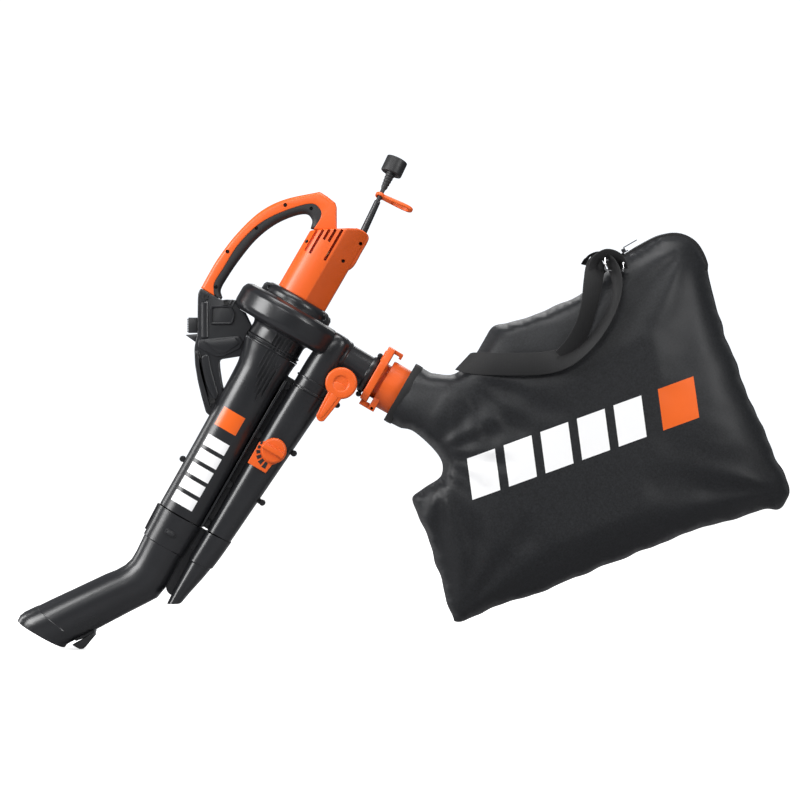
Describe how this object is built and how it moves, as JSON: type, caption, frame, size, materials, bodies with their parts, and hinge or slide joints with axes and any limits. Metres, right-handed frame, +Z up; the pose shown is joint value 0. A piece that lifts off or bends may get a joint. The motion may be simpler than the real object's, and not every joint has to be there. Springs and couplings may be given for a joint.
{
  "type": "leaf vacuum mulcher",
  "caption": "Hand-held electric leaf blower, vacuum and mulcher with twin ducts, a diverter lever, a curved nozzle and a fabric collection bag.",
  "frame": {"origin": "middle of the main grip, on the plane where the casings part", "axes": "+X from the nozzle towards the bag, +Y across the tool from the knob side to the far side, +Z up, with the motor shaft leaning 30 degrees from upright"},
  "size_m": [1.3102, 0.188, 0.8401],
  "materials": {
    "orange_plastic": "satin moulded",
    "black_plastic": "satin moulded",
    "soft_grip": "matte moulded",
    "cord_rubber": "matte",
    "bag_fabric": "woven polyester",
    "webbing": "woven nylon",
    "steel": "plain",
    "cast_aluminium": "as cast",
    "copper_alloy": "bare"
  },
  "bodies": {
    "housing": {"fan_housing_left": "black_plastic", "fan_housing_right": "black_plastic", "diverter_housing_left": "black_plastic", "diverter_housing_right": "black_plastic", "suction_duct_left": "black_plastic", "suction_duct_right": "black_plastic", "blower_duct_left": "black_plastic", "blower_duct_right": "black_plastic", "seam_screw_1": "steel", "seam_screw_2": "steel", "mount_screw_1": "steel", "mount_screw_2": "steel", "vent_plate": "orange_plastic", "motor_housing_left": "orange_plastic", "motor_housing_right": "orange_plastic", "front_bearing": "steel", "rear_bearing": "steel", "stator_core": "steel", "brush_holder_left": "copper_alloy", "brush_holder_right": "copper_alloy", "main_handle_left": "orange_plastic", "main_handle_right": "orange_plastic", "inner_grip_left": "soft_grip", "inner_grip_right": "soft_grip", "lower_handle_left": "black_plastic", "lower_handle_right": "black_plastic", "switch_module": "black_plastic", "cord_sleeve": "cord_rubber", "power_cord": "cord_rubber", "plug_body": "cord_rubber", "plug_shroud": "cord_rubber", "plug_blade_left": "copper_alloy", "plug_blade_right": "copper_alloy"},
    "rotor": {"rotor_shaft": "steel", "armature_core": "steel", "commutator": "copper_alloy", "cooling_fan": "black_plastic", "impeller": "cast_aluminium", "mulching_blade": "steel", "impeller_nut": "steel"},
    "air_control": {"air_knob": "orange_plastic", "vent_shutter": "black_plastic"},
    "diverter": {"diverter_lever": "orange_plastic", "diverter_flap": "black_plastic"},
    "switch": {"switch_slider": "black_plastic"},
    "nozzle": {"nozzle_duct": "black_plastic", "blower_tip": "black_plastic", "ground_foot": "cord_rubber"},
    "nozzle_latch": {"nozzle_latch_button": "black_plastic"},
    "bag": {"bag_collar": "orange_plastic", "latch_pin": "steel", "bag_shell": "bag_fabric", "neck_band": "webbing", "shoulder_strap": "webbing", "strap_buckle": "black_plastic", "zipper_tape": "webbing"},
    "bag_latch": {"collar_latch": "orange_plastic"},
    "zip": {"zipper_slider": "steel"},
    "zip_tab": {"zipper_pull": "steel"},
    "cord_hook": {"cord_hook": "orange_plastic"}
  },
  "joints": [
    {"name": "rotor_spin", "type": "hinge", "parent": "housing", "child": "rotor", "pos_m": [0.06535, 0, -0.14281], "axis": [0.5, 0, 0.866], "continuous": true},
    {"name": "air_control_turn", "type": "hinge", "parent": "housing", "child": "air_control", "pos_m": [0.03303, -0.042, -0.3828], "axis": [0, 1, 0], "range_deg": [0, 120]},
    {"name": "diverter_turn", "type": "hinge", "parent": "housing", "child": "diverter", "pos_m": [0.14664, 0, -0.26941], "axis": [0, 1, 0], "range_deg": [0, 65]},
    {"name": "switch_slide", "type": "slide", "parent": "housing", "child": "switch", "axis": [0, 0, 1], "range_m": [0, 0.01]},
    {"name": "nozzle_pull_off", "type": "slide", "parent": "housing", "child": "nozzle", "axis": [-0.5, 0, -0.866], "range_m": [0, 0.06]},
    {"name": "nozzle_latch_press", "type": "slide", "parent": "nozzle", "child": "nozzle_latch", "axis": [0, 1, 0], "range_m": [0, 0.003], "stiffness_N_per_m": 500},
    {"name": "bag_pull_off", "type": "slide", "parent": "housing", "child": "bag", "axis": [0.866, 0, -0.5], "range_m": [0, 0.05]},
    {"name": "bag_latch_tilt", "type": "hinge", "parent": "bag", "child": "bag_latch", "pos_m": [0.19769, 0, -0.31159], "axis": [0, 1, 0], "range_deg": [0, 4]},
    {"name": "zip_slide", "type": "slide", "parent": "bag", "child": "zip", "axis": [0.866, 0, 0.5], "range_m": [0, 0.04]},
    {"name": "zip_tab_lift", "type": "hinge", "parent": "zip", "child": "zip_tab", "pos_m": [0.62635, 0, -0.03779], "axis": [0, -1, 0], "range_deg": [0, 150]},
    {"name": "cord_hook_swivel", "type": "hinge", "parent": "housing", "child": "cord_hook", "pos_m": [0.21192, 0.00128, 0.0497], "axis": [0.4231, 0, 0.9061], "range_deg": [-100, 100]}
  ]
}
